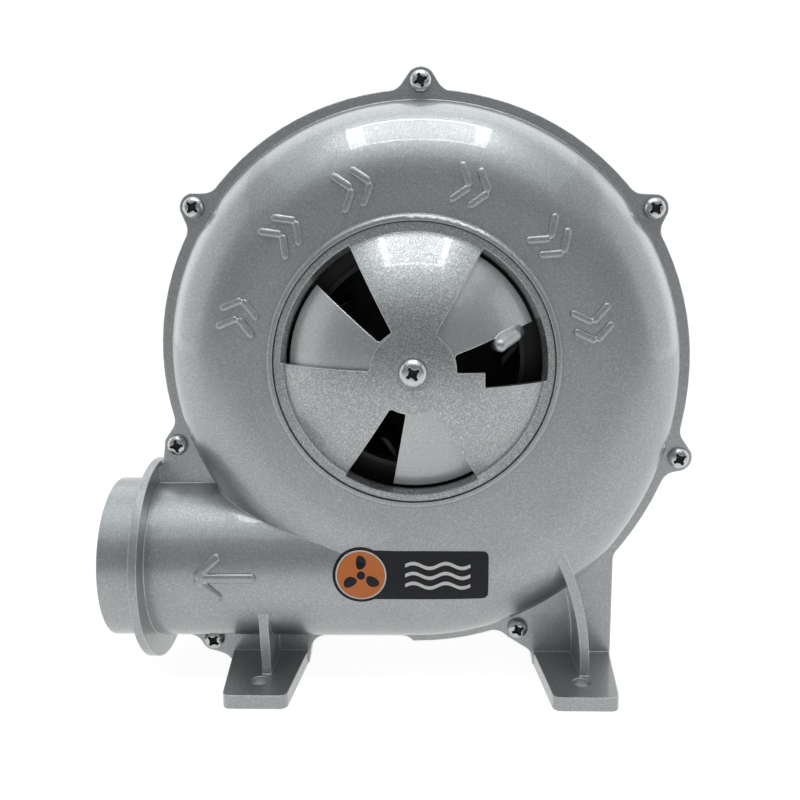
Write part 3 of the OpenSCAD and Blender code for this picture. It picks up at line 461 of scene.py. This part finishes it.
def screw(centre, turn, head, rise, shank, reach, seat, cross):
    """Pan head screw with a cross recess, and which of its quads lie in the recess.

    The head is z = h * (1 - (r/R)^3.4)^(1/2.2). The recess is a cross of tapered arms with a star
    |p|^0.62 + |q|^0.62 < c between them, and gets deeper towards its middle. Its size is a share of
    the head, times cross.
    """
    r = head * np.sin(np.linspace(0, math.pi / 2, HEAD_RINGS))[:, None]
    a = np.linspace(0, 2 * math.pi, HEAD_SIDES, endpoint=False)[None]
    x, y = r * np.cos(a), r * np.sin(a)
    t = math.radians(turn)
    p, q = np.abs(x * math.cos(t) + y * math.sin(t)), np.abs(y * math.cos(t) - x * math.sin(t))
    far, near = np.maximum(p, q), np.minimum(p, q)
    arm = np.maximum(near - head * cross * 0.145, far - head * cross * 0.60)
    star = (p**0.62 + q**0.62) ** (1 / 0.62) - head * cross * 0.76
    inside = np.clip(-np.minimum(arm, star * 0.5) / (head * 0.05), 0, 1)
    dome = rise * (1 - (r / head) ** 3.4) ** (1 / 2.2)
    z = dome - inside * (0.55 + 0.9 * np.clip(1 - np.hypot(p, q) / (head * 0.6), 0, 1)) * rise / 2.6
    z = np.where(inside > 0, np.maximum(z, 0.3), np.maximum(z, 0.0))
    grid = np.stack([centre[0] + x, centre[1] + y, seat + z], -1)
    bottom = np.stack([centre[0] + x, centre[1] + y, np.full_like(z, seat)], -1)
    verts, quads = solid(grid, bottom, True)
    deep = np.zeros(len(quads))
    ring = np.concatenate([inside, inside[:, :1]], 1)
    depth = (ring[:-1, :-1] + ring[1:, :-1] + ring[1:, 1:] + ring[:-1, 1:]) / 4
    deep[: depth.size] = depth.ravel() > 0.3
    r = np.array([0.0, shank])[:, None]
    x, y = centre[0] + r * np.cos(a), centre[1] + r * np.sin(a)
    near_end, far_end = (np.stack([x, y, np.full_like(x, f)], -1) for f in (seat + 0.2, seat - reach))
    end = solid(near_end, far_end, True)
    return (verts, quads), deep, end


def screws(name, places, turns, sizes):
    """Screws as one object, with painted shadow in their recesses."""
    built = [screw(c, t, **sizes) for c, t in zip(places, turns)]
    parts = [part for head, _, end in built for part in (head, end)]
    deep = [flags for _, d, end in built for flags in (d, np.zeros(len(end[1])))]
    ob = piece(name, joined(parts), [ZINC, RECESS], np.concatenate(deep))
    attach(ob, "housing")
    return ob


EAR_TURNS, CAP_TURN = (20, 48, 38, 30, 8, 24, 52), 32
ear_screws = screws("ear_screws", EARS, EAR_TURNS, EAR_SCREW)
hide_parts("housing_screws")
cap_screw = screws("cap_screw", [(0.0, 0.0)], [CAP_TURN], CAP_SCREW)
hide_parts("damper_screw")

STICKER_T = 0.12


def sticker(name, x, y, lift, mat, wrap=True):
    """Thin plate on the skin over a grid of points, rows outwards and columns counterclockwise."""
    top = np.stack([x, y, skin_height(x, y) + lift], -1)
    ob = piece(name, solid(top, top - [0, 0, STICKER_T], wrap), [mat])
    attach(ob, "housing")
    return ob


def disc(centre, outline, rings=14):
    """Grid of rings from a centre to an outline."""
    share = np.linspace(0, 1, rings)[:, None, None]
    grid = np.asarray(centre, float) + (np.asarray(outline, float) - centre) * share
    return grid[..., 0], grid[..., 1]


def circle(centre, r, count=96):
    a = np.linspace(0, 2 * math.pi, count, endpoint=False)
    return np.stack([centre[0] + r * np.cos(a), centre[1] + r * np.sin(a)], 1)


def rounded(x0, x1, y0, y1, r, count=160):
    """Outline of a box with round corners, its points evenly spread by angle about the middle.

    A point in direction d lies where the ray leaves the box, and in a corner where it leaves the circle."""
    mid, half = np.array([(x0 + x1) / 2, (y0 + y1) / 2]), np.array([(x1 - x0) / 2, (y1 - y0) / 2])
    a = np.linspace(0, 2 * math.pi, 16 * count, endpoint=False)
    d = np.stack([np.cos(a), np.sin(a)], 1)
    p = d * np.min(half / np.maximum(np.abs(d), 1e-9), axis=1)[:, None]
    core = np.sign(p) * np.maximum(np.abs(p) - (half - r), 0)
    corner = (np.abs(p) > half - r).all(1)
    centre = np.sign(p) * (half - r)
    reach = np.linalg.norm(core, axis=1)[:, None]
    p = np.where(corner[:, None], centre + core / np.maximum(reach, 1e-9) * r, p)
    s = np.concatenate([[0], np.cumsum(np.linalg.norm(np.diff(p, axis=0, append=p[:1]), axis=1))])
    at = np.linspace(0, s[-1], count, endpoint=False)
    closed = np.concatenate([p, p[:1]])
    return mid + np.stack([np.interp(at, s, closed[:, i]) for i in (0, 1)], 1)


# Dark label with a plain orange badge, a generic three-blade sign and three lines of air
LABEL_Y = DUCT_Y + 2.6
PLATE_FROM, PLATE_TO, PLATE_UP, PLATE_CORNER = -20.0, 21.9, 7.65, 1.7
BADGE = np.array([-16.25, LABEL_Y])
BADGE_END_R, BADGE_RING_R, BADGE_R, BADGE_HUB_R = 8.55, 7.65, 7.2, 1.25
PLATE_LIFT, END_LIFT, PRINT_LIFT, DISC_LIFT, SIGN_LIFT = 0.10, 0.13, 0.19, 0.25, 0.31
plate = rounded(PLATE_FROM, PLATE_TO, LABEL_Y - PLATE_UP, LABEL_Y + PLATE_UP, PLATE_CORNER)
sticker("label_plate", *disc((1.0, LABEL_Y), plate), PLATE_LIFT, INK)
sticker("label_round_end", *disc(BADGE, circle(BADGE, BADGE_END_R)), END_LIFT, INK)
sticker("label_ring", *disc(BADGE, circle(BADGE, BADGE_RING_R)), PRINT_LIFT, WHITE)
sticker("label_disc", *disc(BADGE, circle(BADGE, BADGE_R)), DISC_LIFT, ORANGE)
a = np.linspace(0, 2 * math.pi, 48, endpoint=False)
BLADE_MIDDLE = (3.7, 0.2)
BLADE = np.stack([3.9 + 2.1 * np.cos(a), 1.5 * np.sin(a) + 0.35 * np.cos(a) ** 2], 1)
for k in range(3):
    middle = turned([BLADE_MIDDLE], 90 + 120 * k, BADGE)[0]
    sticker(f"badge_blade_{k}", *disc(middle, turned(BLADE, 90 + 120 * k, BADGE)), SIGN_LIFT, INK)
sticker("badge_hub", *disc(BADGE, circle(BADGE, BADGE_HUB_R, 48), 4), SIGN_LIFT, INK)
AIR_FROM, AIR_TO, AIR_STEP, AIR_SWING, AIR_HALF = -3.0, 16.5, 3.1, 0.75, 0.55
AIR_WAVE = (AIR_TO - AIR_FROM) / 2
run = np.linspace(AIR_FROM, AIR_TO, 60)
for k in range(3):
    wave = AIR_SWING * np.sin((run - AIR_FROM) * 2 * math.pi / AIR_WAVE)
    line = LABEL_Y + AIR_STEP * (1 - k) + wave
    x, y = np.broadcast_arrays(run[:, None], line[:, None] + np.linspace(-AIR_HALF, AIR_HALF, 3))
    sticker(f"label_air_line_{k}", x, y, PRINT_LIFT, WHITE, wrap=False)

# Room, lamps and camera
ROOM, WALL_Y, GLOW = 3, 1.2, 1.3
floor = bpy.data.meshes.new("floor")
corners = [(-ROOM, -ROOM, 0), (ROOM, -ROOM, 0), (ROOM, ROOM, 0), (-ROOM, ROOM, 0)]
floor.from_pydata(corners, [], [(0, 1, 2, 3)])
wall = bpy.data.meshes.new("backdrop")
corners = [(-ROOM, WALL_Y, 0), (ROOM, WALL_Y, 0), (ROOM, WALL_Y, ROOM), (-ROOM, WALL_Y, ROOM)]
wall.from_pydata(corners, [], [(0, 1, 2, 3)])
pale, t, shader = material("PaleFloor")
shader.inputs["Base Color"].default_value = (0.80, 0.80, 0.80, 1)
shader.inputs["Roughness"].default_value = 0.7
ray = add(t, "LightPath").outputs
away = add(t, "SeparateXYZ", {0: add(t, "TexCoord").outputs["Object"]}).outputs[1]
# In reflections the floor is darker towards the camera, which keeps the part's front from going flat
ends = {"Value": away, "From Min": -0.70, "From Max": -0.10, "To Min": 0.36, "To Max": 0.84}
shown = add(t, "MapRange", ends, interpolation_type="SMOOTHSTEP").outputs["Result"]
strength = maths(t, "MULTIPLY", maths(t, "MAXIMUM", ray["Is Camera Ray"], shown), GLOW)
glow = add(t, "Emission", {"Strength": strength}).outputs[0]
mirrored = maths(t, "MAXIMUM", ray["Is Glossy Ray"], ray["Is Transmission Ray"])
share = maths(t, "MULTIPLY", maths(t, "MAXIMUM", ray["Is Camera Ray"], mirrored), 0.7)
blend = add(t, "MixShader", {0: share, 1: shader.outputs[0], 2: glow}).outputs[0]
t.links.new(blend, t.nodes["Material Output"].inputs["Surface"])
for me in (floor, wall):
    me.materials.append(pale)
    ob = bpy.data.objects.new(me.name, me)
    bpy.context.scene.collection.objects.link(ob)

world = bpy.data.worlds.new("Studio")
bpy.context.scene.world = world
world.use_nodes = True
world.node_tree.nodes["Background"].inputs["Color"].default_value = (0.93, 0.96, 1.0, 1)
world.node_tree.nodes["Background"].inputs["Strength"].default_value = 0.30


def lamp(name, at, aim, size, radiance, colour=(1, 1, 1)):
    """Rectangular lamp. Its power is pi * area * radiance, so a mirror shows it at that radiance."""
    data = bpy.data.lights.new(name, "AREA")
    data.shape = "RECTANGLE"
    data.size, data.size_y = size
    data.energy = math.pi * size[0] * size[1] * radiance
    data.color = colour
    ob = bpy.data.objects.new(name, data)
    bpy.context.scene.collection.objects.link(ob)
    ob.location = at
    ob.rotation_mode = "QUATERNION"
    ob.rotation_quaternion = (Vector(aim) - Vector(at)).to_track_quat("-Z", "Y")
    return ob


# A soft panel with bright strips along its edges hangs over the front of the part
PANEL_Y, PANEL_Z, PANEL_W, PANEL_D = -0.15, 0.70, 0.39, 0.36
lamp("key_top", (0.0, PANEL_Y, PANEL_Z), (0, PANEL_Y, 0.1), (PANEL_W, PANEL_D), 1.15)
for side in (-1, 1):
    x, y = side * (PANEL_W / 2 - 0.02), PANEL_Y + side * (PANEL_D / 2 - 0.01)
    lamp("strip_across", (0.0, y, PANEL_Z - 0.005), (0, y, 0.1), (PANEL_W, 0.02), 7.0)
    lamp("strip_along", (x, PANEL_Y, PANEL_Z - 0.01), (x, PANEL_Y, 0.1), (0.04, PANEL_D - 0.04), 6.0)
lamp("ceiling", (0.0, 0.05, 1.10), (0, 0.05, 0.1), (1.8, 2.6), 0.60, (0.94, 0.97, 1.0))
lamp("side_left", (-0.95, 0.15, 0.40), (0, 0.0, 0.1), (1.3, 0.8), 0.60)
lamp("side_right", (0.95, 0.15, 0.40), (0, 0.0, 0.1), (1.3, 0.8), 0.60)

# The camera stands a little above the fan axis and looks 10 degrees down
CAMERA = Vector((2.95, -301.63, 138.37)) * MM
LENS, DOWN, PAN, ROLL = 41.16, math.radians(10.03), math.radians(1.81), math.radians(-0.50)
camera = bpy.data.cameras.new("Camera")
camera.sensor_width = 36.0
camera.lens = LENS
camera.clip_start = 0.01
ahead = Vector((-math.sin(PAN) * math.cos(DOWN), math.cos(PAN) * math.cos(DOWN), -math.sin(DOWN)))
right = Vector((math.cos(PAN), math.sin(PAN), 0))
up = right.cross(ahead)
axes = (right * math.cos(ROLL) + up * math.sin(ROLL), up * math.cos(ROLL) - right * math.sin(ROLL), -ahead)
ob = bpy.data.objects.new("Camera", camera)
bpy.context.scene.collection.objects.link(ob)
ob.matrix_world = Matrix.Translation(CAMERA) @ Matrix(axes).transposed().to_4x4()
bpy.context.scene.camera = ob

bpy.context.scene.view_settings.view_transform = "Standard"
